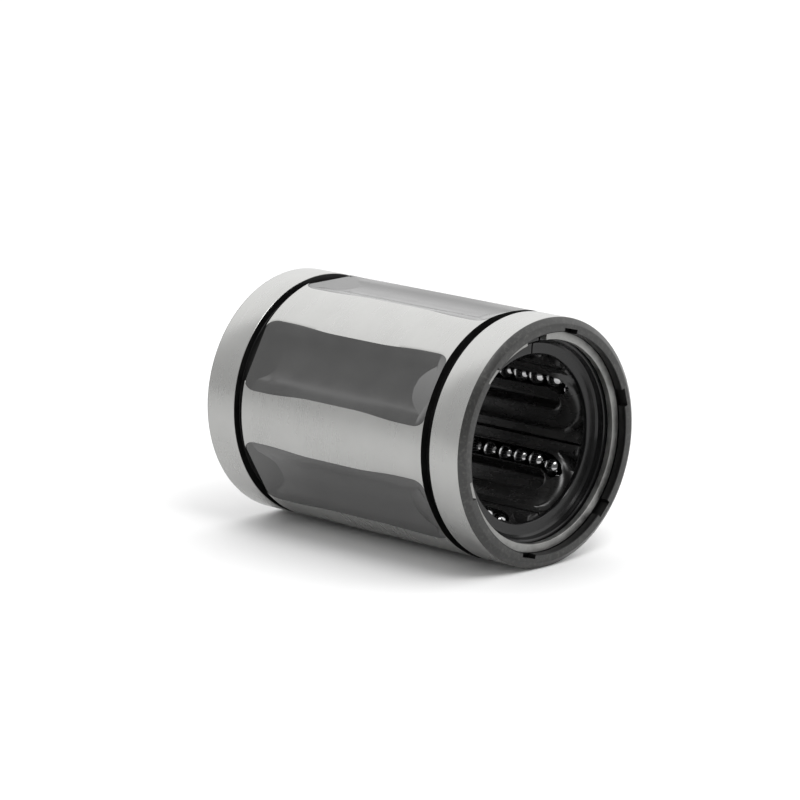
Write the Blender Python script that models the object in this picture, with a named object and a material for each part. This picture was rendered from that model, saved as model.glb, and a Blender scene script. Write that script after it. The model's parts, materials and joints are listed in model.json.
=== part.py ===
"""A closed linear ball bearing for a 25 mm shaft: a ground steel sleeve, a plastic cage in six segments,
six endless circuits of balls, and an end ring and a snap ring at each end.

The bearing's axis is X, its front face is at +X, and the origin is at its centre, with Z up. Angles are
turned about +X, starting at +Z. Lengths are in metres.
"""

from math import acos, cos, pi, radians, sin, sqrt, tan

import bmesh
import bpy
from mathutils import Matrix, Vector

MM = 0.001

# The standard size: shaft, outside diameter and length
SHAFT_D = 25 * MM
OUTSIDE_D = 40 * MM
LENGTH = 58 * MM
GROOVE_SPAN = 44.1 * MM  # over the outer edges of the two outside grooves
GROOVE_WIDTH = 1.85 * MM
GROOVE_D = 37.5 * MM

# The ball circuits
CIRCUITS = 6
BALL_D = 3.175 * MM
PITCH = 3.35 * MM  # from ball to ball along a circuit
ROW_BALLS = 10  # in the loaded row, and in the return row
TURN_BALLS = 4  # in each turn
RETURN_R = 15.5 * MM  # the return row's distance from the bearing's axis
TURN_TILT = radians(20)  # each turn leans outwards, clear of the shaft

# The sleeve
CHAMFER = (0.75 * MM, 1.0 * MM)  # along the axis, and radially
MOUTH_R = 17.65 * MM  # the bore at each end
CAGE_ROOM_R = 17.8 * MM  # the bore round the cage
CAGE_ROOM_X = 23.4 * MM
SNAP_GROOVE_X = (26.1 * MM, 27.6 * MM)
SNAP_GROOVE_R = 18.3 * MM
NOTCH_ANGLE = radians(9.3)
NOTCH_PLACE = radians(-15)
NOTCH_FLOOR_X = 27.1 * MM
SLEEVE_SIDES = 60

# A raceway land inside the sleeve, and the pocket outside it
LAND_R = 15.8 * MM
LAND_WIDTH = 2.8 * MM
LAND_HALF_LENGTH = 15.0 * MM
POCKET_FLOOR_R = 18.6 * MM
POCKET_HOLLOW_R = 26 * MM  # the floor's own hollow, across the axis
POCKET_HALF_WIDTH = 6.2 * MM  # of its cutter, which comes out of the round outside before that
POCKET_SIDES = 8
RAMP_START_X = 14.9 * MM
FRONT_RAMP_SLOPE = tan(radians(13.3))  # this ramp keeps to the round
REAR_RAMP_SLOPE = tan(radians(7.5))  # this ramp is flat
RAMP_STEPS = 4

# The cage
CAGE_R = (13.1 * MM, 17.55 * MM)
CAGE_HALF_LENGTH = 23.3 * MM
CAGE_FROM = radians(-44.5)  # a segment's sides, about its loaded row
SEGMENT_GAP = 0.3 * MM
SEGMENT_SIDES = 10
CHANNEL_HALF_WIDTH = 1.8 * MM
RECESS_HALF_WIDTH = 1.85 * MM
RECESS_FLOOR_R = 15.2 * MM
TURN_STEPS = 12  # of a channel's half circle; a recess's end has half as many
CHANNEL_SIDES = 4

# The end rings and the snap rings
END_RING_R = (13.55 * MM, 15.74 * MM, 17.4 * MM)  # inner edge, inside of the wall, outside
END_RING_X = (23.55 * MM, 24.45 * MM, 26.0 * MM)
END_RING_SLIT = (radians(-2.8), radians(-1.6))
SNAP_RING_R = (16.3 * MM, 18.1 * MM)
SNAP_RING_X = (26.3 * MM, 27.4 * MM)
SNAP_RING_GAP = (radians(-2.5), radians(12.5))
RING_SIDES = 36

CUTTER_REACH = 1 * MM  # how far a cutter runs past the surface that it comes out of
GROOVE_REACH = 0.4 * MM  # how far a pocket's cutter runs into a groove

# A circuit's centre line, worked out for the first circuit, whose loaded row is straight up
LOAD_R = (SHAFT_D + BALL_D) / 2
TURN_X = ROW_BALLS * PITCH / 2
TURN_R = TURN_BALLS * PITCH / pi
RETURN_ANGLE = acos((LOAD_R**2 + RETURN_R**2 - (2 * TURN_R) ** 2) / (2 * LOAD_R * RETURN_R))


def around(x, radius, angle):
    """The point at this distance along the axis, distance from it and angle about it."""
    return Vector((x, -radius * sin(angle), radius * cos(angle)))


LOAD_LINE = around(0, LOAD_R, 0)
RETURN_LINE = around(0, RETURN_R, -RETURN_ANGLE)
TURN_MIDDLE = (LOAD_LINE + RETURN_LINE) / 2
ACROSS = (RETURN_LINE - LOAD_LINE).normalized()
OUTWARDS = ACROSS.cross(Vector((1, 0, 0))).normalized()
OUTWARDS *= 1 if OUTWARDS.dot(TURN_MIDDLE) > 0 else -1


def turn_frame(end):
    """Centre, direction to the apex, and hinge axis of a turn: end is 1 at the front and -1 at the rear.

    A ball goes round the axis by the right-hand rule when the loaded row moves towards +X.
    """
    centre = Vector((end * TURN_X, 0, 0)) + TURN_MIDDLE
    apex = Vector((end * cos(TURN_TILT), 0, 0)) + sin(TURN_TILT) * OUTWARDS
    return centre, apex, (-end * ACROSS).cross(apex)


def ring_mesh(rings, closed):
    """A mesh through a list of rings of points, joined head to tail, or else capped at both ends."""
    mesh = bmesh.new()
    loops = [[mesh.verts.new(point) for point in ring] for ring in rings]
    pairs = list(zip(loops, loops[1:]))
    if closed:
        pairs.append((loops[-1], loops[0]))
    for first, second in pairs:
        for i in range(len(first)):
            j = (i + 1) % len(first)
            mesh.faces.new((first[i], first[j], second[j], second[i]))
    if not closed:
        mesh.faces.new(reversed(loops[0]))
        mesh.faces.new(loops[-1])
    bmesh.ops.recalc_face_normals(mesh, faces=mesh.faces)
    return mesh


def add(name, mesh, material=None, place=None):
    """Makes an object from a bmesh, or from a mesh that another object already has."""
    data = mesh
    if isinstance(mesh, bmesh.types.BMesh):
        data = bpy.data.meshes.new(name)
        mesh.to_mesh(data)
        mesh.free()
    piece = bpy.data.objects.new(name, data)
    bpy.context.scene.collection.objects.link(piece)
    piece.matrix_world = place or Matrix()
    if material and material.name not in data.materials:
        data.materials.append(material)
    return piece


def carve(piece, tools, operation):
    """Applies a Boolean with each tool, and removes the tools."""
    for tool in tools:
        tool.hide_render = True
        tool.display_type = "WIRE"
        cut = piece.modifiers.new(tool.name, "BOOLEAN")
        cut.operation = operation
        cut.solver = "EXACT"
        cut.object = tool
    bpy.context.view_layer.update()
    graph = bpy.context.evaluated_depsgraph_get()
    result = bpy.data.meshes.new_from_object(piece.evaluated_get(graph))
    piece.modifiers.clear()
    piece.data = result
    for tool in tools:
        bpy.data.objects.remove(tool)


def smooth(piece):
    piece.data.shade_smooth()
    piece.data.set_sharp_from_angle(angle=radians(35))


def turned(outline, sides, start=0.0, end=2 * pi):
    """A section of (x, radius) points turned about the axis, all the way round or from start to end."""
    whole = end - start > 2 * pi - 1e-6
    steps = sides if whole else sides + 1
    angles = [start + (end - start) * i / sides for i in range(steps)]
    return ring_mesh([[around(x, radius, angle) for x, radius in outline] for angle in angles], whole)


def prism(outline, direction, depth, place=None):
    """A flat outline of 3-D points, pushed along a direction."""
    far = [point + direction * depth for point in outline]
    mesh = ring_mesh([outline, far], False)
    if place:
        mesh.transform(place)
    return mesh


def spun(angle):
    return Matrix.Rotation(angle, 4, "X")


def material(name, colour, roughness, metallic):
    made = bpy.data.materials.new(name)
    made.use_nodes = True
    shader = made.node_tree.nodes["Principled BSDF"]
    shader.inputs["Base Color"].default_value = (*colour, 1)
    shader.inputs["Roughness"].default_value = roughness
    shader.inputs["Metallic"].default_value = metallic
    return made


# The sleeve


def sleeve_outline():
    """One end's section from the middle of the outside round to the middle of the bore, then mirrored."""
    half = LENGTH / 2
    outside = OUTSIDE_D / 2
    groove = (GROOVE_SPAN / 2 - GROOVE_WIDTH, GROOVE_SPAN / 2)
    front = [
        (groove[0], outside),
        (groove[0], GROOVE_D / 2),
        (groove[1], GROOVE_D / 2),
        (groove[1], outside),
        (half - CHAMFER[0], outside),
        (half, outside - CHAMFER[1]),
        (half, MOUTH_R),
        (SNAP_GROOVE_X[1], MOUTH_R),
        (SNAP_GROOVE_X[1], SNAP_GROOVE_R),
        (SNAP_GROOVE_X[0], SNAP_GROOVE_R),
        (SNAP_GROOVE_X[0], MOUTH_R),
        (CAGE_ROOM_X, MOUTH_R),
        (CAGE_ROOM_X, CAGE_ROOM_R),
    ]
    return front + [(-x, radius) for x, radius in reversed(front)]


def land(angle):
    """A straight rib with sloping ends, on the inside of the sleeve, which carries one loaded row."""
    top = (CAGE_ROOM_R + POCKET_FLOOR_R) / 2
    foot = LAND_HALF_LENGTH + top - LAND_R
    side = -LAND_WIDTH / 2
    outline = [
        Vector((-foot, side, top)),
        Vector((-LAND_HALF_LENGTH, side, LAND_R)),
        Vector((LAND_HALF_LENGTH, side, LAND_R)),
        Vector((foot, side, top)),
    ]
    return add("land", prism(outline, Vector((0, 1, 0)), LAND_WIDTH, spun(angle)))


def pocket_floor(x, y):
    """Height of a pocket's floor: a hollow along the axis, with a ramp up to the groove at each end."""
    hollow = POCKET_FLOOR_R + y**2 / (2 * POCKET_HOLLOW_R)
    run = abs(x) - RAMP_START_X
    if run <= 0:
        return hollow
    if x < 0:
        return max(hollow, POCKET_FLOOR_R + run * REAR_RAMP_SLOPE)
    return max(hollow, sqrt((POCKET_FLOOR_R + run * FRONT_RAMP_SLOPE) ** 2 - y**2))


def pocket(angle):
    """The solid that one outside pocket is cut with. Its ends stop inside the two grooves."""
    end = GROOVE_SPAN / 2 - GROOVE_WIDTH + GROOVE_REACH
    ramp = [RAMP_START_X + (end - RAMP_START_X) * i / RAMP_STEPS for i in range(RAMP_STEPS + 1)]
    stations = [-x for x in reversed(ramp)] + ramp
    across = [POCKET_HALF_WIDTH * (2 * i / POCKET_SIDES - 1) for i in range(POCKET_SIDES + 1)]
    above = OUTSIDE_D / 2 + CUTTER_REACH
    rings = []
    for x in stations:
        floor = [Vector((x, y, pocket_floor(x, y))) for y in across]
        top = [Vector((x, y, above)) for y in (POCKET_HALF_WIDTH, -POCKET_HALF_WIDTH)]
        rings.append(floor + top)
    mesh = ring_mesh(rings, False)
    mesh.transform(spun(angle))
    return add("pocket", mesh)


def notch(angle, end):
    """A square notch from the end face down to the snap ring's groove."""
    inner = MOUTH_R - CUTTER_REACH
    depth = SNAP_GROOVE_R - inner
    half = SNAP_GROOVE_R * sin(NOTCH_ANGLE / 2)
    floor, mouth = end * NOTCH_FLOOR_X, end * (LENGTH / 2 + CUTTER_REACH)
    corners = [(floor, -half), (mouth, -half), (mouth, half), (floor, half)]
    outline = [Vector((x, y, inner)) for x, y in corners]
    return add("notch", prism(outline, Vector((0, 0, 1)), depth, spun(angle)))


def make_sleeve(steel):
    sleeve = add("outer_sleeve", turned(sleeve_outline(), SLEEVE_SIDES))
    places = [2 * pi * i / CIRCUITS for i in range(CIRCUITS)]
    carve(sleeve, [land(place) for place in places], "UNION")
    cuts = [pocket(place) for place in places]
    cuts += [notch(NOTCH_PLACE + place, end) for place in places for end in (-1, 1)]
    carve(sleeve, cuts, "DIFFERENCE")
    sleeve.data.materials.append(steel)
    smooth(sleeve)


# The cage


def circuit_path(turn_steps):
    """(point, direction of travel) all the way round the first circuit, from the loaded row's rear end."""
    path = []
    for end in (1, -1):
        centre, apex, _ = turn_frame(end)
        for i in range(turn_steps + 1):
            angle = pi * i / turn_steps
            point = centre + TURN_R * (sin(angle) * apex - end * cos(angle) * ACROSS)
            travel = cos(angle) * apex + end * sin(angle) * ACROSS
            if i in (0, turn_steps):
                travel += Vector((end if i == 0 else -end, 0, 0))
            path.append((point, travel.normalized()))
    return path


def channel():
    """The cutter of a ball channel: round below the balls, and open outwards to the sleeve."""
    rings = []
    for point, travel in circuit_path(TURN_STEPS):
        outwards = Vector((0, point.y, point.z)).normalized()
        side = travel.cross(outwards).normalized()
        height = CAGE_R[1] + CUTTER_REACH - sqrt(point.y**2 + point.z**2)
        section = [point + side * CHANNEL_HALF_WIDTH + outwards * height]
        for i in range(CHANNEL_SIDES + 1):
            angle = pi * i / CHANNEL_SIDES
            section.append(point + CHANNEL_HALF_WIDTH * (cos(angle) * side - sin(angle) * outwards))
        section.append(point - side * CHANNEL_HALF_WIDTH + outwards * height)
        rings.append(section)
    return add("channel", ring_mesh(rings, True))


def recess():
    """The cutter of the long hollow with round ends, in the island inside a circuit."""
    steps = TURN_STEPS // 2
    inner = CAGE_R[0] - CUTTER_REACH
    depth = RECESS_FLOOR_R - inner
    radius = TURN_MIDDLE.length
    start = TURN_MIDDLE - OUTWARDS * (radius - inner)
    outline = []
    for end in (1, -1):
        for i in range(steps + 1):
            angle = pi * i / steps
            along = end * (TURN_X + RECESS_HALF_WIDTH * sin(angle))
            sideways = -end * RECESS_HALF_WIDTH * cos(angle)
            outline.append(start + Vector((along, 0, 0)) + ACROSS * sideways)
    return add("recess", prism(outline, OUTWARDS, depth))


def make_cage(plastic):
    """Six equal segments: each one holds a whole circuit, and its sides meet its neighbours' sides."""
    gap = SEGMENT_GAP / 2 / CAGE_R[0]
    section = [
        (-CAGE_HALF_LENGTH, CAGE_R[0]),
        (CAGE_HALF_LENGTH, CAGE_R[0]),
        (CAGE_HALF_LENGTH, CAGE_R[1]),
        (-CAGE_HALF_LENGTH, CAGE_R[1]),
    ]
    span = 2 * pi / CIRCUITS
    solid = turned(section, SEGMENT_SIDES, CAGE_FROM + gap, CAGE_FROM + span - gap)
    first = add("cage_segment_1", solid)
    carve(first, [channel(), recess()], "DIFFERENCE")
    first.data.materials.append(plastic)
    smooth(first)
    for i in range(1, CIRCUITS):
        add(f"cage_segment_{i + 1}", first.data, place=spun(span * i))


# The rings


def make_rings(plastic, spring_steel):
    for side, end in (("front", 1), ("rear", -1)):
        lip, wall, rim = (end * x for x in END_RING_X)
        section = [
            (lip, END_RING_R[0]),
            (wall, END_RING_R[0]),
            (wall, END_RING_R[1]),
            (rim, END_RING_R[1]),
            (rim, END_RING_R[2]),
            (lip, END_RING_R[2]),
        ]
        slit = turned(section, RING_SIDES, END_RING_SLIT[1], END_RING_SLIT[0] + 2 * pi)
        smooth(add(f"end_ring_{side}", slit, plastic))
        inner, outer = (end * x for x in SNAP_RING_X)
        section = [
            (inner, SNAP_RING_R[0]),
            (outer, SNAP_RING_R[0]),
            (outer, SNAP_RING_R[1]),
            (inner, SNAP_RING_R[1]),
        ]
        split = turned(section, RING_SIDES, SNAP_RING_GAP[1], SNAP_RING_GAP[0] + 2 * pi)
        smooth(add(f"snap_ring_{side}", split, spring_steel))


# The balls. The balls that move as one are joined by short necks, so that each group is one solid.

NECK = (1.4 * MM, 0.7 * MM)  # its start, from the ball's centre, and its radius
BELLY_HALF_LENGTH = 0.45 * MM
ROW_SIDES = {"load": 8, "return": 6}
TURN_SIDES = 6


def bead_stations():
    """(distance along the circuit from a ball's centre, radius there), from one neck to the next."""
    neck = NECK
    belly = (BELLY_HALF_LENGTH, BALL_D / 2)
    return [(-neck[0], neck[1]), (-belly[0], belly[1]), belly, neck]


def beads(count, sides, place_at):
    """A string of balls. place_at gives the point, and the two directions across, at a distance along it."""
    stations = []
    for i in range(count):
        middle = PITCH * (i + 0.5 - count / 2)
        stations += [(middle + along, radius) for along, radius in bead_stations()]
    rings = []
    for along, radius in stations:
        point, first, second = place_at(along)
        angles = [2 * pi * j / sides for j in range(sides)]
        rings.append([point + radius * (cos(a) * first + sin(a) * second) for a in angles])
    mesh = ring_mesh(rings, False)
    end = PITCH * (count - 1) / 2 + BALL_D / 2
    for face in [face for face in mesh.faces if len(face.verts) == sides]:
        tip = end if face.calc_center_median().dot(rings[-1][0] - rings[0][0]) > 0 else -end
        bmesh.ops.poke(mesh, faces=[face])["verts"][0].co = place_at(tip)[0]
    return mesh


def along_row(distance):
    return Vector((distance, 0, 0)), Vector((0, 1, 0)), Vector((0, 0, 1))


def along_turn(distance):
    """A half circle about the local Z axis, with its middle at +Y: balls start at +X and end at -X."""
    angle = pi / 2 + distance / TURN_R
    radial = Vector((cos(angle), sin(angle), 0))
    return TURN_R * radial, radial, Vector((0, 0, 1))


def turn_place(end):
    """Puts a turn's balls on its hinge: local Z on the hinge's axis, and local Y to the apex."""
    centre, apex, axis = turn_frame(end)
    sideways = apex.cross(axis)
    place = Matrix((sideways, apex, axis)).transposed().to_4x4()
    place.translation = centre
    return place


def string_data(name, mesh, steel):
    """The mesh that all the strings of one kind share."""
    data = bpy.data.meshes.new(name)
    mesh.to_mesh(data)
    mesh.free()
    data.materials.append(steel)
    data.shade_smooth()
    return data


def make_balls(ball_steel):
    strings = {}
    for name, line in (("load", LOAD_LINE), ("return", RETURN_LINE)):
        data = string_data(f"{name}_balls", beads(ROW_BALLS, ROW_SIDES[name], along_row), ball_steel)
        strings[name] = (data, Matrix.Translation(line))
    data = string_data("turn_balls", beads(TURN_BALLS, TURN_SIDES, along_turn), ball_steel)
    strings["front_turn"] = (data, turn_place(1))
    strings["rear_turn"] = (data, turn_place(-1))
    for i in range(CIRCUITS):
        for name, (data, place) in strings.items():
            add(f"{name}_balls_{i + 1}", data, place=spun(2 * pi * i / CIRCUITS) @ place)


def main():
    for thing in list(bpy.data.objects):
        bpy.data.objects.remove(thing)
    make_sleeve(material("ground_steel", (0.62, 0.62, 0.6), 0.3, 1.0))
    make_cage(material("black_plastic", (0.02, 0.02, 0.022), 0.4, 0.0))
    make_rings(
        material("black_end_ring_plastic", (0.03, 0.03, 0.033), 0.35, 0.0),
        material("spring_steel", (0.45, 0.45, 0.44), 0.35, 1.0),
    )
    make_balls(material("ball_steel", (0.75, 0.75, 0.76), 0.08, 1.0))


main()
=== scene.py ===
import json
from bisect import insort
from math import atan2, cos, pi, radians, sin, sqrt, tan

import bmesh
import bpy
from mathutils import Matrix, Vector


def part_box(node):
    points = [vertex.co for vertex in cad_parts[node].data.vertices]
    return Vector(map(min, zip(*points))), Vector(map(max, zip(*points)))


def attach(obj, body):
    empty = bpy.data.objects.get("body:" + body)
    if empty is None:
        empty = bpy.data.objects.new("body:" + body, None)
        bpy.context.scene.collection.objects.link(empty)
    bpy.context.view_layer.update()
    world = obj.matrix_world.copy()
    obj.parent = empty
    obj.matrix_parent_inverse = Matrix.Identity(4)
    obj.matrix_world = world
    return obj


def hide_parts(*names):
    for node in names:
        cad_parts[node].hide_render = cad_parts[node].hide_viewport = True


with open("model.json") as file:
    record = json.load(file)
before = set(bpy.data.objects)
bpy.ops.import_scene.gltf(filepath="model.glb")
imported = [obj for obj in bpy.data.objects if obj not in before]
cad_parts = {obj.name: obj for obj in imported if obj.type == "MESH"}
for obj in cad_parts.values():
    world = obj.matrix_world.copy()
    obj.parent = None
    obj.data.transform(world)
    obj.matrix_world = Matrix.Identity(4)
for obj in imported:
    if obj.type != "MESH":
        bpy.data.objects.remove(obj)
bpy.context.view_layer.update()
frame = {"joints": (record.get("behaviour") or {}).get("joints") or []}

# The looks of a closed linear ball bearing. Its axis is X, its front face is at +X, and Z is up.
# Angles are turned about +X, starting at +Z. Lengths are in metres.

MM = 0.001
MERGE = 0.001 * MM  # points closer than this are one point
NEARLY_ZERO = 1e-9
ROUNDING_STEPS = 3  # faces across a rounded edge

# From the frame: the circuits, the sleeve's outside, and the balls and their path

JOINTS = {joint["name"]: joint for joint in frame["joints"]}
CIRCUITS = sum(name.startswith("load_slide") for name in JOINTS)
SECTOR = 2 * pi / CIRCUITS
HALF_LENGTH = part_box("outer_sleeve")[1].x
OUTSIDE_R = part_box("outer_sleeve")[1].z

row_low, row_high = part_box("load_balls_1")
ROW_BALLS = 10
TURN_BALLS = 4
BALL_R = (row_high.z - row_low.z) / 2
PITCH = (row_high.x - row_low.x - 2 * BALL_R) / (ROW_BALLS - 1)
LOAD_LINE = Vector((0, 0, (row_high.z + row_low.z) / 2))
TURN_CENTRE = Vector(JOINTS["front_turn_1"]["pos_m"])
TURN_X = TURN_CENTRE.x
TURN_MIDDLE = Vector((0, TURN_CENTRE.y, TURN_CENTRE.z))
RETURN_LINE = 2 * TURN_MIDDLE - LOAD_LINE
TURN_R = (RETURN_LINE - LOAD_LINE).length / 2
ACROSS = (RETURN_LINE - LOAD_LINE).normalized()

# The sleeve: edges of an outside groove, chamfer, bore at the mouth and round the cage, snap ring groove

GROOVE_X = (20.2 * MM, 22.05 * MM)
GROOVE_R = 18.75 * MM
CHAMFER = (0.75 * MM, 1.0 * MM)
MOUTH_R = 17.65 * MM
CAGE_ROOM_R = 17.8 * MM
CAGE_ROOM_X = 23.4 * MM
SNAP_GROOVE_X = (26.1 * MM, 27.6 * MM)
SNAP_GROOVE_R = 18.3 * MM
NOTCH_HALF_ANGLE = radians(4.65)
NOTCH_PLACE = radians(-15)
NOTCH_FLOOR_X = 27.1 * MM
LAND_R = 15.8 * MM
LAND_HALF_WIDTH = 1.4 * MM
LAND_X = (15.0 * MM, 17.0 * MM)
LEVEL_BROW = 0.98  # where there is no land left, its edge's share of the way to its foot
CUTTER_SPARE = 1 * MM  # how far a notch's cutter runs past the steel

# A pocket in the outside: half its angle in the middle, near its ends and at the grooves

POCKET_HALF_ANGLE = (radians(16.4), radians(17.75), radians(13.5))
POCKET_SPREAD_X = (5 * MM, 15 * MM)
POCKET_CORNER_X = 17.7 * MM
POCKET_DEPTH = 1.4 * MM
SHOULDER_ANGLE = radians(12)
SHOULDER_DEPTH = 0.58 * MM
TROUGH_POWER = 2.4  # above 2, the trough is flatter at the bottom and steeper by the shoulders
RAMP_X = 14.9 * MM
FRONT_RAMP_SLOPE = tan(radians(13.3))
REAR_RAMP_SLOPE = tan(radians(7.5))
RAMP_MEETS_SHOULDERS_X = RAMP_X + (POCKET_DEPTH - SHOULDER_DEPTH) / FRONT_RAMP_SLOPE
RAMP_TIP_ANGLE = radians(5)  # half the front ramp's angle where it meets the groove

# The cage. Its inner surface is laid out flat at REF_R: x along the axis, v round it, from the recess's line

REF_R = 13.4 * MM
CAGE_R = (13.1 * MM, 17.5 * MM)
CAGE_HALF_LENGTH = 23.3 * MM
SEGMENT_SIDES = (radians(-43.84), radians(14.84))
CHANNEL_R = 1.7 * MM
COVER_R = 1.85 * MM
SLOT_HALF_WIDTH = 1.455 * MM
SLOT_TAPER = (radians(50), radians(66))  # how far round the turn the slot begins to narrow, and ends
BAND_R = 13.3 * MM
HOLLOW_R = 15.6 * MM
COVER_STEP = 0.03 * MM  # how far the slot's edge stands back from the bore
JOINT_CHAMFER = 0.12 * MM  # along the segment's border
RIM_EASE = 0.5 * MM  # the width in which the rim runs out into the bands

# The rings

END_RING_R = (13.55 * MM, 15.74 * MM, 17.4 * MM)
END_RING_X = (23.55 * MM, 24.45 * MM, 26.0 * MM)
END_RING_DRAFT = 0.1 * MM  # the cup is this much wider at its rim
END_RING_SLIT = (radians(-2.8), radians(-1.6))
SNAP_RING_R = (16.3 * MM, 18.1 * MM)
SNAP_RING_X = (26.3 * MM, 27.4 * MM)
SNAP_RING_ROUNDING = 0.12 * MM
SNAP_RING_GAP = (radians(-2.5), radians(12.5))
RING_CELLS = 240


def around(x, radius, angle):
    """The point at this distance along the axis, distance from it and angle about it."""
    return Vector((x, -radius * sin(angle), radius * cos(angle)))


def angle_of(point):
    """The angle of a point about the axis."""
    return atan2(-point.y, point.z)


def smooth(value, low=0.0, high=1.0):
    """From 0 at low to 1 at high, with no corner at either."""
    t = min(1.0, max(0.0, (value - low) / (high - low)))
    return t * t * (3 - 2 * t)


def mix(a, b, share):
    """From a at share 0 to b at share 1."""
    return a + (b - a) * share


def even(start, end, steps):
    """Values from start to end, both included, at equal steps."""
    return [mix(start, end, i / steps) for i in range(steps + 1)]


# Meshes


def strip(mesh, first, second, finish=0, wanted=None):
    """Faces between two closed loops. finish is a material index, or gives one for each place."""
    for i in range(len(first)):
        if wanted and not wanted(i):
            continue
        j = (i + 1) % len(first)
        face = mesh.faces.new((first[i], first[j], second[j], second[i]))
        face.material_index = finish(i) if callable(finish) else finish


def loops_of(mesh, rings):
    """One loop of new vertices for each ring of points."""
    return [[mesh.verts.new(point) for point in ring] for ring in rings]


def finished(mesh, name, materials, sharp=30):
    """The bmesh as mesh data, with faces outwards. Edges of more than sharp degrees are sharp."""
    bmesh.ops.remove_doubles(mesh, verts=mesh.verts, dist=MERGE)
    bmesh.ops.recalc_face_normals(mesh, faces=mesh.faces)
    for edge in mesh.edges:
        if edge.calc_face_angle(0) > radians(sharp):
            edge.smooth = False
    for face in mesh.faces:
        face.smooth = True
    data = bpy.data.meshes.new(name)
    mesh.to_mesh(data)
    mesh.free()
    for material in materials:
        data.materials.append(material)
    return data


def show(name, data, place=None):
    """Adds an object to the scene."""
    piece = bpy.data.objects.new(name, data)
    bpy.context.scene.collection.objects.link(piece)
    piece.matrix_world = place or Matrix()
    return piece


def stand_for(piece, node, body):
    """The piece is seen in place of this CAD node, and moves with this body."""
    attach(piece, body)
    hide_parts(node)


def spun(angle):
    """A turn about the bearing's axis."""
    return Matrix.Rotation(angle, 4, "X")


def rounded(corners, closed):
    """A section's (x, radius, finish), from corners of (x, radius, rounding, finish after it)."""
    section = []
    last = len(corners) - 1
    for i, (x, radius, size, finish) in enumerate(corners):
        here = Vector((x, radius))
        if not size or (not closed and i in (0, last)):
            section.append((x, radius, finish))
            continue
        start = here + (Vector(corners[i - 1][:2]) - here).normalized() * size
        end = here + (Vector(corners[(i + 1) % (last + 1)][:2]) - here).normalized() * size
        for t in even(0, 1, ROUNDING_STEPS):
            point = (1 - t) ** 2 * start + 2 * t * (1 - t) * here + t**2 * end
            section.append((point.x, point.y, finish))
    return section


# The sleeve

# Finish indices for the sleeve. The last one is painted shade: black on the grooves, the bore and the
# notches, where shade falls.
GROUND, POCKET, TURNED, PAINTED_SHADE = 0, 1, 2, 3
RAMP_CELLS, WALL_CELLS, OUTSIDE_CELLS = 5, 13, 18
POCKET_CELLS = 2 * (RAMP_CELLS + WALL_CELLS)
SECTOR_CELLS = POCKET_CELLS + OUTSIDE_CELLS
LAND_CELLS = 6
MIDDLE_STATIONS, RAMP_STATIONS, CORNER_STATIONS = 12, 8, 12
BISECTIONS = 30
SLEEVE_SHARP = 20


def pocket_edge(x):
    """Half a pocket's angle: it widens a little to its ends, and is rounded in to the grooves."""
    middle, wide, mouth = POCKET_HALF_ANGLE
    widest = mix(middle, wide, smooth(abs(x), *POCKET_SPREAD_X))
    corner = max(0.0, (abs(x) - POCKET_CORNER_X) / (GROOVE_X[0] - POCKET_CORNER_X))
    return widest - (widest - mouth) * (1 - sqrt(max(0.0, 1 - corner**2)))


def shoulder_angle(x):
    """Half the trough's angle: the walls close in over the tip of the front ramp."""
    past = (x - RAMP_MEETS_SHOULDERS_X) / (GROOVE_X[0] - RAMP_MEETS_SHOULDERS_X)
    return mix(SHOULDER_ANGLE, RAMP_TIP_ANGLE, max(0.0, past))


def trough_depth(x, angle):
    """Depth below the round outside: a hollow between two shoulders, and the walls outside them."""
    shoulder = shoulder_angle(x)
    if angle < shoulder:
        return mix(POCKET_DEPTH, SHOULDER_DEPTH, (angle / SHOULDER_ANGLE) ** TROUGH_POWER)
    top = min(SHOULDER_DEPTH, ramp_depth(x, shoulder)) if x > RAMP_MEETS_SHOULDERS_X else SHOULDER_DEPTH
    return top * max(0.0, 1 - (angle - shoulder) / (pocket_edge(x) - shoulder))


def ramp_depth(x, angle):
    """Depth of the ramp at an end, where it stands above the trough: round at the front, flat at the rear."""
    run = abs(x) - RAMP_X
    if x > 0:
        return POCKET_DEPTH - run * FRONT_RAMP_SLOPE
    return OUTSIDE_R - (OUTSIDE_R - POCKET_DEPTH + run * REAR_RAMP_SLOPE) / cos(angle)


def ramp_edge(x):
    """The angle where the ramp meets the trough, or the walls past it."""
    if abs(x) <= RAMP_X:
        return 0.0
    if x > RAMP_MEETS_SHOULDERS_X:
        return shoulder_angle(x)
    low, high = 0.0, pocket_edge(x)
    for _ in range(BISECTIONS):
        middle = (low + high) / 2
        if ramp_depth(x, middle) < trough_depth(x, middle):
            low = middle
        else:
            high = middle
    return low


def outside_ring(x):
    """The points of the sleeve's outside at x, pocket after pocket."""
    ramp, edge = ramp_edge(x), pocket_edge(x)
    half = even(0, ramp, RAMP_CELLS) + even(ramp, edge, WALL_CELLS)[1:]
    ring = []
    for k in range(CIRCUITS):
        for angle in [-a for a in reversed(half)] + half[1:]:
            flat = abs(angle) < ramp
            depth = ramp_depth(x, abs(angle)) if flat else trough_depth(x, abs(angle))
            ring.append(around(x, OUTSIDE_R - depth, k * SECTOR + angle))
        for angle in even(edge, SECTOR - edge, OUTSIDE_CELLS)[1:-1]:
            ring.append(around(x, OUTSIDE_R, k * SECTOR + angle))
    return ring


def turned_ring(x, radius):
    """A round ring, in step with the outside."""
    return [around(x, radius, angle_of(point)) for point in outside_ring(GROOVE_X[0])]


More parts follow.
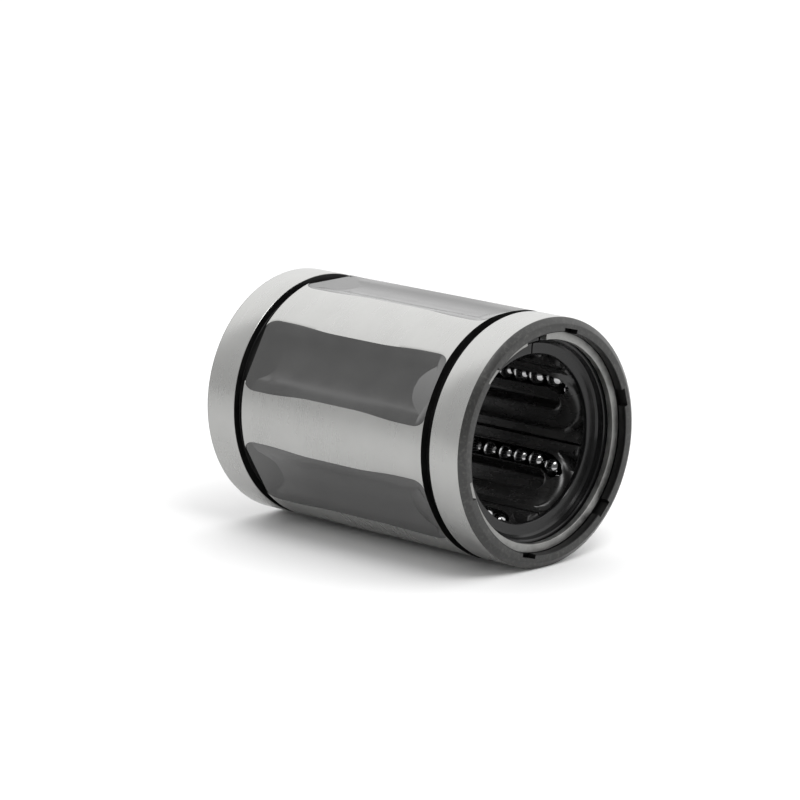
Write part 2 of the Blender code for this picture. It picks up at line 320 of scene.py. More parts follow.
def bore_ring(x):
    """The points of the bore round the cage at x, with the raceway lands, in step with the outside."""
    rise = 1 - min(1.0, max(0.0, (abs(x) - LAND_X[0]) / (LAND_X[1] - LAND_X[0])))
    top = mix(CAGE_ROOM_R, LAND_R, rise)
    foot = LAND_HALF_WIDTH / CAGE_ROOM_R
    brow = foot * LEVEL_BROW if rise == 0 else LAND_HALF_WIDTH / top
    edge = POCKET_HALF_ANGLE[2]
    half = [(a, top) for a in even(0, brow, LAND_CELLS)]
    half += [(a, CAGE_ROOM_R) for a in even(foot, edge, POCKET_CELLS // 2 - LAND_CELLS - 1)]
    ring = []
    for k in range(CIRCUITS):
        for angle, radius in [(-a, r) for a, r in reversed(half)] + half[1:]:
            ring.append(around(x, radius, k * SECTOR + angle))
        for angle in even(edge, SECTOR - edge, OUTSIDE_CELLS)[1:-1]:
            ring.append(around(x, CAGE_ROOM_R, k * SECTOR + angle))
    return ring


def outside_stations():
    """Places along half the outside, closer together where the pockets change."""
    middle = even(0, RAMP_X, MIDDLE_STATIONS)
    ramp = even(RAMP_X, POCKET_CORNER_X, RAMP_STATIONS)
    quarter = even(0, pi / 2, CORNER_STATIONS)
    corner = [mix(POCKET_CORNER_X, GROOVE_X[0], sin(angle)) for angle in quarter]
    return sorted(middle + ramp[1:] + corner[1:] + [RAMP_MEETS_SHOULDERS_X])


def end_section():
    """From an outside groove round the end of the sleeve to the bore round the cage."""
    # The grooves, the mouth and the snap ring's groove take the painted shade black.
    return rounded(
        [
            (GROOVE_X[0], GROOVE_R, 0, PAINTED_SHADE),
            (GROOVE_X[1], GROOVE_R, 0.15 * MM, PAINTED_SHADE),
            (GROOVE_X[1], OUTSIDE_R, 0.1 * MM, GROUND),
            (HALF_LENGTH - CHAMFER[0], OUTSIDE_R, 0.12 * MM, TURNED),
            (HALF_LENGTH, OUTSIDE_R - CHAMFER[1], 0.12 * MM, TURNED),
            (HALF_LENGTH, MOUTH_R, 0.15 * MM, PAINTED_SHADE),
            (SNAP_GROOVE_X[1], MOUTH_R, 0.06 * MM, PAINTED_SHADE),
            (SNAP_GROOVE_X[1], SNAP_GROOVE_R, 0.06 * MM, PAINTED_SHADE),
            (SNAP_GROOVE_X[0], SNAP_GROOVE_R, 0.06 * MM, PAINTED_SHADE),
            (SNAP_GROOVE_X[0], MOUTH_R, 0.06 * MM, PAINTED_SHADE),
            (CAGE_ROOM_X, MOUTH_R, 0, PAINTED_SHADE),
        ],
        closed=False,
    )


def notch_cutter(angle, end):
    """A square notch from the end face into the snap ring's groove."""
    mesh = bmesh.new()
    heights = (MOUTH_R - CUTTER_SPARE, SNAP_GROOVE_R)
    half = SNAP_GROOVE_R * sin(NOTCH_HALF_ANGLE)
    along = [end * NOTCH_FLOOR_X, end * (HALF_LENGTH + CUTTER_SPARE)]
    corners = list(zip(along + along[::-1], (-half, -half, half, half)))
    loops = loops_of(mesh, [[Vector((x, y, z)) for x, y in corners] for z in heights])
    strip(mesh, *loops)
    mesh.faces.new(loops[0])
    mesh.faces.new(loops[1])
    bmesh.ops.recalc_face_normals(mesh, faces=mesh.faces)
    # The notch's walls take the painted shade black.
    for face in mesh.faces:
        face.material_index = PAINTED_SHADE
    data = bpy.data.meshes.new("notch")
    mesh.to_mesh(data)
    mesh.free()
    return show("notch", data, spun(angle))


def carve(piece, cutters):
    """Cuts the cutters out of the piece's mesh, and removes them."""
    for cutter in cutters:
        cut = piece.modifiers.new(cutter.name, "BOOLEAN")
        cut.operation = "DIFFERENCE"
        cut.solver = "EXACT"
        cut.object = cutter
    bpy.context.view_layer.update()
    graph = bpy.context.evaluated_depsgraph_get()
    result = bpy.data.meshes.new_from_object(piece.evaluated_get(graph))
    piece.modifiers.clear()
    piece.data = result
    for cutter in cutters:
        bpy.data.objects.remove(cutter)


def make_sleeve(materials):
    """The outside with its pockets, round the front end, back along the bore and round the rear end."""
    half = outside_stations()
    section = end_section()
    bore = [LAND_X[1], LAND_X[0]]
    rings = [outside_ring(x) for x in [-x for x in reversed(half)] + half[1:]]
    outside_count = len(rings)
    # Faces in the grooves, the notches and the bore take the painted shade black.
    finishes = [None] * (len(rings) - 1) + [PAINTED_SHADE]
    for x, radius, finish in section:
        rings.append(turned_ring(x, radius))
        finishes.append(finish)
    for x in [CAGE_ROOM_X] + bore + [-x for x in reversed(bore)] + [-CAGE_ROOM_X]:
        rings.append(bore_ring(x))
        finishes.append(PAINTED_SHADE)
    backwards = list(reversed(section))
    for i, (x, radius, _) in enumerate(backwards):
        rings.append(turned_ring(-x, radius))
        finishes.append(backwards[i + 1][2] if i + 1 < len(backwards) else PAINTED_SHADE)
    mesh = bmesh.new()
    loops = loops_of(mesh, rings)

    def outside_finish(i):
        return POCKET if i % SECTOR_CELLS < POCKET_CELLS else GROUND

    for i, finish in enumerate(finishes):
        strip(mesh, loops[i], loops[(i + 1) % len(loops)], outside_finish if finish is None else finish)
    # The ramps' edges are marked here, because they are too faint to be found by angle
    for first, second in zip(loops[:outside_count], loops[1:outside_count]):
        for k in range(CIRCUITS):
            for column in (WALL_CELLS, WALL_CELLS + 2 * RAMP_CELLS):
                i = k * SECTOR_CELLS + column
                mesh.edges.get((first[i], second[i])).smooth = False
    data = finished(mesh, "outer_sleeve_fine", materials, SLEEVE_SHARP)
    sleeve = show("sleeve", data)
    places = [NOTCH_PLACE + k * SECTOR for k in range(CIRCUITS)]
    carve(sleeve, [notch_cutter(place, end) for place in places for end in (-1, 1)])
    stand_for(sleeve, "outer_sleeve", "bearing")


# The cage

MEDIAL = angle_of(RETURN_LINE) / 2
PATH_V = -MEDIAL * REF_R
TURN_AXIS = Vector(JOINTS["front_turn_1"]["axis"])
TURN_APEX = TURN_AXIS.cross(-ACROSS)
STRETCH = TURN_R * TURN_APEX.x / PATH_V  # a turn's reach along the axis, for its width round it
COVER_CELLS, EDGE_CELLS, CHANNEL_CELLS = 6, 5, 6
TURN_COLUMNS, ROW_COLUMNS = 24, 16
TAPER_COLUMNS = (0.3, 0.6, 0.8, 0.93, 1.0)  # more columns where the slot narrows, as shares of its taper
BEYOND = 1.0  # m, farther than any border
CAGE_SHARP = 40


def path_radius(turn):
    """The ball path's distance from the axis: turn is 0 on the loaded side and pi on the return side."""
    point = TURN_MIDDLE + TURN_R * (sin(turn) * TURN_APEX - cos(turn) * ACROSS)
    return sqrt(point.y**2 + point.z**2)


def flat_share(turn):
    """What a true distance across the path becomes where the surface is laid out flat."""
    return REF_R / path_radius(turn) * cos(turn) ** 2 + sin(turn) ** 2 / STRETCH


def three_way(values, turn):
    """Between values for the loaded side, the middle of the turn and the return side."""
    loaded, apex, back = values
    if turn <= pi / 2:
        return mix(loaded, apex, smooth(turn, 0, pi / 2))
    return mix(apex, back, smooth(turn, pi / 2, pi))


def slot_half_width(turn):
    """Half the slot's width: it narrows in the turn, and is 0 past its end."""
    start, end = SLOT_TAPER
    if turn >= end:
        return 0.0
    taper = max(0.0, (turn - start) / (end - start))
    return SLOT_HALF_WIDTH * sqrt(1 - taper**2)


def cage_columns():
    """(x, direction along x and round, turn) all round the recess's line, and its distance to the border."""
    v_high = (SEGMENT_SIDES[1] - MEDIAL) * REF_R
    v_low = (SEGMENT_SIDES[0] - MEDIAL) * REF_R
    reach = (CAGE_HALF_LENGTH - TURN_X) / STRETCH
    turns = even(0, pi, TURN_COLUMNS)
    for extra in (atan2(reach, v_high), pi - atan2(reach, -v_low)):
        insort(turns, extra)
    for share in TAPER_COLUMNS:
        insort(turns, mix(*SLOT_TAPER, share))
    columns = [(x, 0.0, 1.0, 0.0) for x in even(-TURN_X, TURN_X, ROW_COLUMNS)[1:-1]]
    columns += [(TURN_X, STRETCH * sin(turn), cos(turn), turn) for turn in turns]
    columns += [(x, 0.0, -1.0, pi) for x in even(TURN_X, -TURN_X, ROW_COLUMNS)[1:-1]]
    columns += [(-TURN_X, -STRETCH * sin(turn), cos(turn), turn) for turn in reversed(turns)]
    borders = []
    for _, dx, dv, _ in columns:
        ends = (CAGE_HALF_LENGTH - TURN_X) / abs(dx) if abs(dx) > NEARLY_ZERO else BEYOND
        sides = (v_high if dv > 0 else v_low) / dv if abs(dv) > NEARLY_ZERO else BEYOND
        borders.append(min(ends, sides))
    return columns, borders


# (distance from the recess's line, distance from the axis) in mm, on the loaded side, at the middle of the
# turn and on the return side: the recess's floor, its fillet, its wall and its brow
RECESS = [
    ((0, 0, 0), (15.2, 15.2, 15.2)),
    ((0.85, 0.7, 0.4), (15.2, 15.2, 15.2)),
    ((1.5, 1.1, 0.72), (15.2, 15.2, 15.2)),
    ((1.68, 1.28, 0.92), (15.1, 15.1, 15.1)),
    ((1.78, 1.4, 1.05), (14.88, 14.9, 14.85)),
    ((2.12, 1.88, 1.5), (13.42, 13.8, 13.9)),
    ((2.19, 1.97, 1.68), (13.2, 13.6, 13.66)),
    ((2.29, 2.08, 2.0), (13.12, 13.52, 13.5)),
]
# The same outside the slot and the cover: the rim round the turn, and the start of the flat bands
RIM = [
    ((5.4, 5.1, 4.84), (13.1, 14.6, 13.95)),
    ((5.5, 5.32, 4.9), (13.12, 14.95, 13.65)),
    ((5.7, 5.52, 4.95), (13.25, 15.3, 13.36)),
    ((5.95, 5.66, 5.05), (13.3, 15.6, 13.28)),
]
COVER_OUTER_HALF = (1.455, 1.05, 0.9)  # mm, from the path to the cover's outer edge
BULGE = (13.4, 0.8, 0.19)  # mm: its least radius, that line's distance from the path, and its curve
APEX_COVER = (13.5, 14.6)  # mm, at the inner and the outer edge of the cover
APEX_POWER = 1.6  # above 1, the cover stays near the bore for longer before it falls away
BANDS = ((5.3, 5.9), (4.5, 4.95))  # mm: where the flat bands start, on the loaded and the return side


def cover_radius(turn, across, outer):
    """The cover's height over the path. across is from -SLOT_HALF_WIDTH to outer."""
    share = (across + SLOT_HALF_WIDTH) / (outer + SLOT_HALF_WIDTH)
    apex = mix(*APEX_COVER, share**APEX_POWER) * MM
    low, place, hollow = BULGE
    back = (low + hollow * (across / MM + place) ** 2) * MM
    return three_way((CAGE_R[0] + COVER_STEP, apex, back), turn)


def over_path(radius, turn, across):
    """Keeps a height clear of the ball channel."""
    real = across / flat_share(turn)
    room = sqrt(max(0.0, COVER_R**2 - real**2))
    return max(CAGE_R[0], min(radius, path_radius(turn) - room) if room else radius)


def band_radius(v):
    """Height outside the rim: flat bands along the joints, and a hollow between them at the ends."""
    start, end = BANDS[0] if v > 0 else BANDS[1]
    return mix(HOLLOW_R, BAND_R, smooth(abs(v), start * MM, end * MM))


def cage_point(column, distance, radius):
    """A point at this distance from the recess's line, in this column."""
    x, dx, dv, _ = column
    return around(x + dx * distance, radius, MEDIAL + dv * distance / REF_R)


def cage_front(column, border):
    """The inner surface's points from the recess's line to the segment's border, and the slot's two edges."""
    turn = column[3]
    inner = [(three_way(d, turn) * MM, three_way(r, turn) * MM) for d, r in RECESS]
    outer_half = three_way(COVER_OUTER_HALF, turn) * MM
    slot = slot_half_width(turn)
    before = [(PATH_V - t, -t) for t in even(SLOT_HALF_WIDTH, slot, COVER_CELLS)]
    after = [(PATH_V + t, t) for t in even(min(slot, outer_half), outer_half, COVER_CELLS)]
    before, after = [
        [(d, over_path(cover_radius(turn, t, outer_half), turn, t)) for d, t in side]
        for side in (before, after)
    ]
    rim = [(three_way(d, turn) * MM, three_way(r, turn) * MM) for d, r in RIM]
    rim = [(d, over_path(r, turn, d - PATH_V)) for d, r in rim]
    last, height = rim[-1]
    edge = []
    for distance in even(last, border - JOINT_CHAMFER, EDGE_CELLS)[1:]:
        wanted = band_radius(column[2] * distance)
        edge.append((distance, mix(height, wanted, smooth(distance, last, last + RIM_EASE))))
    edge.append((border, band_radius(column[2] * border) + JOINT_CHAMFER))
    return inner + before, after + rim + edge


def cage_back(column, border):
    """The outer surface's points, with the ball channel: from the recess's line to the slot, and past it."""
    turn = column[3]
    radius = path_radius(turn)
    slot = min(CHANNEL_R, slot_half_width(turn) / flat_share(turn))
    last = atan2(sqrt(CHANNEL_R**2 - slot**2), slot)
    arc = [(CHANNEL_R * cos(a), radius - CHANNEL_R * sin(a)) for a in even(0, last, CHANNEL_CELLS)]
    side = [(CHANNEL_R, CAGE_R[1])] + arc
    share = flat_share(turn)
    before = [(0.0, CAGE_R[1])] + [(PATH_V - t * share, r) for t, r in side]
    after = [(PATH_V + t * share, r) for t, r in reversed(side)] + [(border, CAGE_R[1])]
    return before, after


def cage_mesh():
    """One segment: the inner surface and the outer one, joined at the slot's edges and at the border."""
    columns, borders = cage_columns()
    mesh = bmesh.new()

    def levels(profiles):
        rings = [zip(columns, ring) for ring in zip(*profiles)]
        return loops_of(mesh, [[cage_point(column, *level) for column, level in ring] for ring in rings])

    fronts = [cage_front(column, border) for column, border in zip(columns, borders)]
    backs = [cage_back(column, border) for column, border in zip(columns, borders)]
    front_in, front_out = levels([f[0] for f in fronts]), levels([f[1] for f in fronts])
    back_in, back_out = levels([b[0] for b in backs]), levels([b[1] for b in backs])
    for side in (front_in, front_out, back_in, back_out):
        for first, second in zip(side, side[1:]):
            strip(mesh, first, second)
    count = len(columns)
    open_at = [slot_half_width(column[3]) > 0 for column in columns]

    def is_open(i):
        return open_at[i] or open_at[(i + 1) % count]

    strip(mesh, front_in[-1], back_in[-1], wanted=is_open)
    strip(mesh, front_out[0], back_out[0], wanted=is_open)
    strip(mesh, front_out[-1], back_out[-1])
    return mesh


def make_cage(material):
    """Six equal segments. Each has its own mesh, already turned, so that its bounds are true."""
    first = finished(cage_mesh(), "cage_segment_fine", [material], CAGE_SHARP)
    for i in range(CIRCUITS):
        data = first.copy()
        data.transform(spun(i * SECTOR))
        segment = show(f"segment_{i + 1}", data)
        stand_for(segment, f"cage_segment_{i + 1}", "bearing")


# The rings


def split_ring(name, section, gap, material):
    """A section turned from one side of a gap round to the other, with closed ends."""
    rings = [
        [around(x, radius, angle) for x, radius, _ in section]
        for angle in even(gap[1], gap[0] + 2 * pi, RING_CELLS)
    ]
    mesh = bmesh.new()
    loops = loops_of(mesh, rings)
    for first, second in zip(loops, loops[1:]):
        strip(mesh, first, second)
    mesh.faces.new(loops[0])
    mesh.faces.new(loops[-1])
    return show(name, finished(mesh, name, [material]))


def make_rings(end_material, snap_material):
    """An end ring and the snap ring that keeps it in, at each end."""
    for side, end in (("front", 1), ("rear", -1)):
        lip, wall, rim = (end * x for x in END_RING_X)
        inner, bore, outer = END_RING_R
        section = rounded(
            [
                (lip, inner, 0.15 * MM, 0),
                (wall, inner, 0.3 * MM, 0),
                (wall, bore, 0.95 * MM, 0),
                (rim, bore + END_RING_DRAFT, 0.4 * MM, 0),
                (rim, outer, 0.15 * MM, 0),
                (lip, outer, 0.3 * MM, 0),
            ],
            closed=True,
        )
        ring = split_ring(f"cap_{side}", section, END_RING_SLIT, end_material)
        stand_for(ring, f"end_ring_{side}", "bearing")
        near, far = (end * x for x in SNAP_RING_X)
        inner, outer = SNAP_RING_R
        corners = ((near, inner), (far, inner), (far, outer), (near, outer))
        section = rounded([(*corner, SNAP_RING_ROUNDING, 0) for corner in corners], closed=True)
        ring = split_ring(f"circlip_{side}", section, SNAP_RING_GAP, snap_material)
        stand_for(ring, f"snap_ring_{side}", "bearing")


# The balls

BALL_SUBDIVISIONS = 4
BALL_TWIST = 1.3  # radians from each ball to the next, about this axis
BALL_TWIST_AXIS = Vector((1, 2, 3))


def ball_mesh(name, centres, steel):
    """Separate round balls, each turned a little differently."""
    mesh = bmesh.new()
    for i, centre in enumerate(centres):
        place = Matrix.Translation(centre) @ Matrix.Rotation(i * BALL_TWIST, 4, BALL_TWIST_AXIS)
        bmesh.ops.create_icosphere(mesh, subdivisions=BALL_SUBDIVISIONS, radius=BALL_R, matrix=place)
    data = bpy.data.meshes.new(name)
    mesh.to_mesh(data)
    mesh.free()
    data.materials.append(steel)
    data.shade_smooth()
    return data


def turn_place(end):
    """Puts a turn on its hinge: local Z on the hinge's axis and local Y to the middle of the turn."""
    joint = JOINTS["front_turn_1" if end > 0 else "rear_turn_1"]
    axis = Vector(joint["axis"]).normalized()
    apex = axis.cross(-end * ACROSS)
    place = Matrix((apex.cross(axis), apex, axis)).transposed().to_4x4()
    place.translation = Vector(joint["pos_m"])
    return place


def make_balls(steel):
    """Each circuit's four groups of balls, each on the body that moves it."""
    row = [Vector((PITCH * (i + 0.5 - ROW_BALLS / 2), 0, 0)) for i in range(ROW_BALLS)]
    angles = [pi * (i + 0.5) / TURN_BALLS for i in range(TURN_BALLS)]
    turn = [TURN_R * Vector((cos(angle), sin(angle), 0)) for angle in angles]
    row_data = ball_mesh("row_of_balls", row, steel)
    turn_data = ball_mesh("turn_of_balls", turn, steel)
    groups = {
        "load": (row_data, Matrix.Translation(LOAD_LINE)),
        "return": (row_data, Matrix.Translation(RETURN_LINE)),
        "front_turn": (turn_data, turn_place(1)),
        "rear_turn": (turn_data, turn_place(-1)),
    }
    for i in range(CIRCUITS):
        for group, (data, place) in groups.items():
            node = f"{group}_balls_{i + 1}"
            piece = show(f"{group}_row_{i + 1}", data, spun(i * SECTOR) @ place)
            stand_for(piece, node, node)


# Materials

NOISE_SPAN = (0.3, 0.7)  # nearly all of a noise's values lie in this
MIX_DARK, MIX_LIGHT, MIX_RESULT = 6, 7, 2  # a colour Mix node's sockets
GROOVE_SHADE_WIDTH = 0.15 * MM  # the width in which the snap ring goes from its own tone to painted shade black at the groove's mouth


class Graph:
    """Helpers that add nodes to a tree."""

    def __init__(self, tree):
        self.tree = tree

    def node(self, kind, **inputs):
        made = self.tree.nodes.new(kind)
        for name, value in inputs.items():
            self.feed(made.inputs[name], value)
        return made

    def feed(self, socket, value):
        if isinstance(value, bpy.types.NodeSocket):
            self.tree.links.new(value, socket)
        else:
            socket.default_value = value

    def math(self, operation, first, second=None):
        """One Math node: an operation on one or two values or sockets."""
        made = self.tree.nodes.new("ShaderNodeMath")
        made.operation = operation
        self.feed(made.inputs[0], first)
        if second is not None:
            self.feed(made.inputs[1], second)
        return made.outputs[0]

    def ranged(self, value, low, high, to_low, to_high, eased=False):
        """What lies from low to high is spread from to_low to to_high, and kept inside them."""
        made = self.node("ShaderNodeMapRange", Value=value)
        if eased:
            made.interpolation_type = "SMOOTHSTEP"
        names = ("From Min", "From Max", "To Min", "To Max")
        for name, number in zip(names, (low, high, to_low, to_high)):
            self.feed(made.inputs[name], number)
        return made.outputs["Result"]

    def spread(self, noise, low=0, high=1):
        """A noise's values, spread from low to high."""
        return self.ranged(noise, *NOISE_SPAN, low, high)


class Finish(Graph):
    """A material under construction, with a Principled shader."""

    def __init__(self, name, colour, roughness, metallic=0.0, ior=1.5):
        self.material = bpy.data.materials.new(name)
        self.material.use_nodes = True
        super().__init__(self.material.node_tree)
        self.shader = self.tree.nodes["Principled BSDF"]
        self.set("Base Color", (*colour, 1))
        self.set("Roughness", roughness)
        self.set("Metallic", metallic)
        self.set("IOR", ior)
        self.point = self.node("ShaderNodeTexCoord").outputs["Object"]

    def set(self, socket, value):
        self.shader.inputs[socket].default_value = value

    def noise(self, vector, scale, detail=3.0, roughness=0.6):
        """Noise with so many features per metre, where the vector is the object's own point."""
        made = self.node("ShaderNodeTexNoise", Vector=vector, Scale=scale, Detail=detail, Roughness=roughness)
        return made.outputs["Fac"]

    def tool_lines(self):
        """Fine lines left by turning, on the round faces and on the flat ones."""
        return self.noise(self.turned_point(7000, 1.5, 7000), 1.0, 3.0, 0.7)

    def turned_point(self, along, about, out):
        """A texture point round the axis: its scales are per metre along, per radian and per metre out."""
        split = self.node("ShaderNodeSeparateXYZ", Vector=self.point)
        x, y, z = split.outputs
        angle = self.math("ARCTAN2", y, z)
        made = self.tree.nodes.new("ShaderNodeCombineXYZ")
        for socket, value, scale in zip(made.inputs, (x, angle, self.radius()), (along, about, out)):
            self.feed(socket, self.math("MULTIPLY", value, scale))
        return made.outputs[0]

    def radius(self):
        """The point's distance from the bearing's axis."""
        split = self.node("ShaderNodeSeparateXYZ", Vector=self.point)
        _, y, z = split.outputs
        return self.math("SQRT", self.math("ADD", self.math("MULTIPLY", y, y), self.math("MULTIPLY", z, z)))

    def shade(self, value, dark, light):
        """Base colour between two colours."""
        made = self.tree.nodes.new("ShaderNodeMix")
        made.data_type = "RGBA"
        self.feed(made.inputs["Factor"], value)
        made.inputs[MIX_DARK].default_value = (*dark, 1)
        made.inputs[MIX_LIGHT].default_value = (*light, 1)
        self.feed(self.shader.inputs["Base Color"], made.outputs[MIX_RESULT])

    def rough(self, value):
        """Roughness from a socket."""
        self.feed(self.shader.inputs["Roughness"], value)

    def bump(self, *layers):
        """Bumps over each other: (height, depth in metres)."""
        normal = None
        for height, depth in layers:
            made = self.node("ShaderNodeBump", Height=height, Strength=1.0, Distance=depth)
            if normal:
                self.feed(made.inputs["Normal"], normal)
            normal = made.outputs["Normal"]
        self.feed(self.shader.inputs["Normal"], normal)


def ground_steel():
    """Ground outside: fine lines round the axis, a faint cloudiness and a few handling marks."""
    made = Finish("ground steel", (0.38, 0.38, 0.372), 0.28, metallic=1.0)
    lines = made.noise(made.turned_point(9000, 2.5, 0), 1.0, 4.0, 0.7)
    broad = made.noise(made.turned_point(1100, 1.2, 0), 1.0, 2.0)
    cloud = made.noise(made.point, 130.0, 4.0, 0.65)
    marks = made.noise(made.point, 1900.0, 2.0, 0.7)
    wear = made.math("MULTIPLY", made.ranged(marks, 0.7, 0.8, 0, 1), made.ranged(cloud, 0.5, 0.6, 0, 1))
    tone = made.math("SUBTRACT", made.spread(cloud, 0.55, 1), made.math("MULTIPLY", wear, 0.7))
    made.shade(tone, (0.33, 0.33, 0.322), (0.39, 0.39, 0.382))
    made.rough(made.math("ADD", made.spread(cloud, 0.265, 0.295), made.spread(broad, -0.015, 0.02)))
    made.bump((broad, 0.12e-6), (lines, 0.1e-6))
    return made.material


def pocket_steel():
    """Pressed and heat-treated pockets, dark and satin: a scale that is a little uneven."""
    made = Finish("pocket steel", (0.02, 0.02, 0.0195), 0.2, ior=1.72)
    grain = made.noise(made.point, 5200.0, 3.0)
    cloud = made.noise(made.point, 210.0, 4.0, 0.6)
    made.shade(made.spread(cloud), (0.017, 0.017, 0.0165), (0.026, 0.026, 0.025))
    made.rough(made.spread(cloud, 0.17, 0.24))
    made.bump((cloud, 1.2e-6), (grain, 0.7e-6))
    return made.material


def turned_steel():
    """Turned and blackened ends: fine tool lines round the axis, rubbed in places."""
    made = Finish("turned steel", (0.022, 0.022, 0.022), 0.36, ior=1.5)
    lines = made.tool_lines()
    cloud = made.noise(made.point, 260.0, 4.0, 0.65)
    rubbed = made.noise(made.point, 1700.0, 3.0, 0.7)
    tone = made.math("MULTIPLY", made.ranged(cloud, 0.3, 0.65, 0.25, 1), made.ranged(rubbed, 0.48, 0.7, 0, 1))
    made.shade(tone, (0.019, 0.019, 0.018), (0.058, 0.057, 0.053))
    made.rough(made.spread(cloud, 0.3, 0.42))
    made.bump((lines, 1.6e-6))
    return made.material


def painted_shade_steel():
    """Painted shade for the grooves, the notches and the bore: the same lines, painted black where shade
    falls, with a film of oil.
    """
    made = Finish("painted shade steel", (0.005, 0.005, 0.005), 0.4, ior=1.32)
    lines = made.tool_lines()
    cloud = made.noise(made.point, 260.0, 4.0, 0.65)
    made.shade(made.ranged(cloud, 0.3, 0.75, 0, 1), (0.003, 0.003, 0.003), (0.008, 0.008, 0.0078))
    made.rough(made.spread(cloud, 0.34, 0.46))
    made.bump((lines, 1.6e-6))
    return made.material


def plastic(name, dark, light, roughness, ior=1.5):
    """Moulded plastic: a fine grain, faint flow marks and a thin film of oil."""
    made = Finish(name, dark, roughness, ior=ior)
    grain = made.noise(made.point, 7000.0, 2.0)
    flow = made.noise(made.turned_point(160, 5, 400), 1.0, 4.0, 0.6)
    made.shade(made.spread(flow), dark, light)
    made.rough(made.spread(flow, roughness - 0.03, roughness + 0.04))
    made.bump((flow, 2e-6), (grain, 1.2e-6))
    return made.material


def spring_steel():
    """Drawn wire, with painted shade: black where it lies inside the groove, its own tone where it stands
    clear of it.
    """
    made = Finish("spring steel", (0.3, 0.3, 0.295), 0.5, metallic=1.0)
    lines = made.noise(made.turned_point(8000, 3, 8000), 1.0, 4.0, 0.7)
    cloud = made.noise(made.point, 420.0, 4.0, 0.65)
    # Painted shade: 1 clear of the groove, 0 inside it, where the ring is painted black.
    clear = made.ranged(made.radius(), MOUTH_R - GROOVE_SHADE_WIDTH, MOUTH_R, 1, 0)
    tone = made.math("MULTIPLY", made.spread(cloud, 0.6, 1), clear)
    made.shade(tone, (0.012, 0.012, 0.012), (0.36, 0.36, 0.35))
    made.rough(made.spread(cloud, 0.45, 0.6))
    made.bump((lines, 1.5e-6))
    return made.material


def ball_steel():
    """Polished balls with the faintest lapping marks."""
    made = Finish("ball steel", (0.36, 0.36, 0.36), 0.07, metallic=1.0)
    lapping = made.noise(made.point, 9000.0, 2.0)
    haze = made.noise(made.point, 700.0, 3.0)
    made.shade(made.spread(haze), (0.33, 0.33, 0.333), (0.39, 0.39, 0.393))
    made.rough(made.spread(haze, 0.05, 0.1))
    made.bump((lapping, 0.08e-6))
    return made.material


# The studio

FLOOR_HALF = 4.0  # m


def make_floor():
    """A plain pale floor that the bearing lies on."""
    made = Finish("floor", (0.88, 0.88, 0.88), 0.9)
    grain = made.noise(made.point, 40.0, 3.0)
    made.shade(made.spread(grain), (0.875, 0.875, 0.875), (0.885, 0.885, 0.885))
    mesh = bmesh.new()
    corners = [(x * FLOOR_HALF, y * FLOOR_HALF) for x, y in ((-1, -1), (1, -1), (1, 1), (-1, 1))]
    mesh.faces.new([mesh.verts.new((x, y, -OUTSIDE_R)) for x, y in corners])
    show("floor", finished(mesh, "floor", [made.material]))


# The tent's light side begins this far round from the bearing's rear, and its far side darkens to the front
LIGHT_SIDE_FROM = radians(-24)
SIDES_MEET = 0.04  # half the width of their border
LIGHT_SIDE = (1.3, 1.75)  # brightness near the horizon and above
LIGHT_SIDE_Z = (0.1, 0.6)  # height of the directions in which it changes
DARK_SIDE = (0.75, 0.9)
DARK_SIDE_Z = (0.0, 0.6)
FRONT = 0.3  # share of the dark side's light that is left at the front
FRONT_X = (-0.2, 0.7)  # x of the directions in which it fades


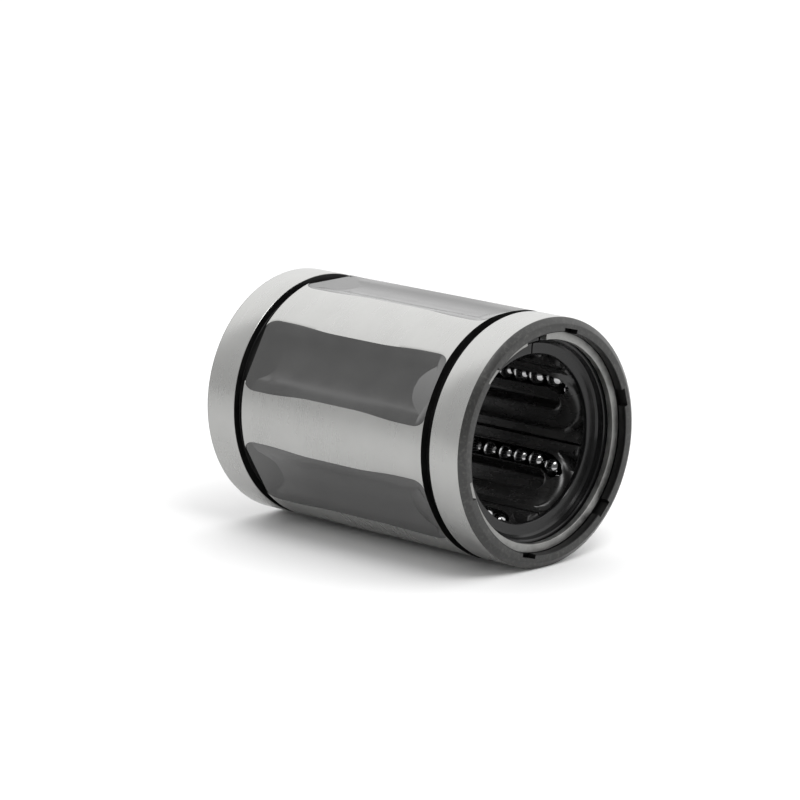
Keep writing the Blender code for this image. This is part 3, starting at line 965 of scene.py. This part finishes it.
def make_sky():
    """Soft light as in a white tent: a light side, and a darker one behind the camera."""
    world = bpy.data.worlds.new("studio")
    bpy.context.scene.world = world
    world.use_nodes = True
    graph = Graph(world.node_tree)
    direction = graph.node("ShaderNodeTexCoord").outputs["Generated"]
    x, y, z = graph.node("ShaderNodeSeparateXYZ", Vector=direction).outputs
    from_x = graph.math("MULTIPLY", x, sin(LIGHT_SIDE_FROM))
    from_y = graph.math("MULTIPLY", y, cos(LIGHT_SIDE_FROM))
    across = graph.math("ADD", from_x, from_y)
    light = graph.ranged(z, *LIGHT_SIDE_Z, *LIGHT_SIDE, eased=True)
    fading = graph.ranged(x, *FRONT_X, 1, FRONT, eased=True)
    dark = graph.math("MULTIPLY", graph.ranged(z, *DARK_SIDE_Z, *DARK_SIDE), fading)
    brightness = graph.ranged(across, -SIDES_MEET, SIDES_MEET, dark, light, eased=True)
    background = graph.tree.nodes["Background"]
    background.inputs["Color"].default_value = (1, 1, 1, 1)
    graph.feed(background.inputs["Strength"], brightness)


def aim(thing, place, target):
    """Puts a camera or light at place, looking at target, with its top up."""
    back = (Vector(place) - Vector(target)).normalized()
    right = Vector((0, 0, 1)).cross(back).normalized()
    turned = Matrix((right, back.cross(right), back)).transposed().to_4x4()
    turned.translation = Vector(place)
    thing.matrix_world = turned


# A small lamp over the table in front of the bearing
LAMP_PLACE = (0.2, -0.08, 0.3)
LAMP_TARGET = (0.11, -0.04, -0.02)
LAMP_SIZE = 0.16
LAMP_WATTS = 0.6


def make_lamp():
    light = bpy.data.lights.new("table", "AREA")
    light.shape = "SQUARE"
    light.size = LAMP_SIZE
    light.energy = LAMP_WATTS
    aim(show("table", light), LAMP_PLACE, LAMP_TARGET)


# The photo's angle, found from the end face and the two grooves
CAMERA_TARGET = (-2.45 * MM, -1.69 * MM, 2.32 * MM)
CAMERA_BACK = Vector((0.68698, -0.69293, 0.21888))
CAMERA_DISTANCE = 746.06 * MM
CAMERA_LENS = 208.56  # mm, for a sensor this wide
CAMERA_SENSOR = 36
CAMERA_CLIP_START = 0.01


def make_camera():
    data = bpy.data.cameras.new("camera")
    data.sensor_width = CAMERA_SENSOR
    data.lens = CAMERA_LENS
    data.clip_start = CAMERA_CLIP_START
    camera = show("camera", data)
    aim(camera, Vector(CAMERA_TARGET) + CAMERA_BACK.normalized() * CAMERA_DISTANCE, CAMERA_TARGET)
    bpy.context.scene.camera = camera


def main():
    bpy.context.scene.view_settings.view_transform = "Standard"
    make_camera()
    make_sky()
    make_lamp()
    make_floor()
    make_sleeve([ground_steel(), pocket_steel(), turned_steel(), painted_shade_steel()])
    make_cage(plastic("cage plastic", (0.014, 0.014, 0.0142), (0.023, 0.0225, 0.022), 0.26))
    dark, light = (0.004, 0.004, 0.0042), (0.008, 0.008, 0.0083)
    make_rings(plastic("end ring plastic", dark, light, 0.18, ior=1.38), spring_steel())
    make_balls(ball_steel())


main()
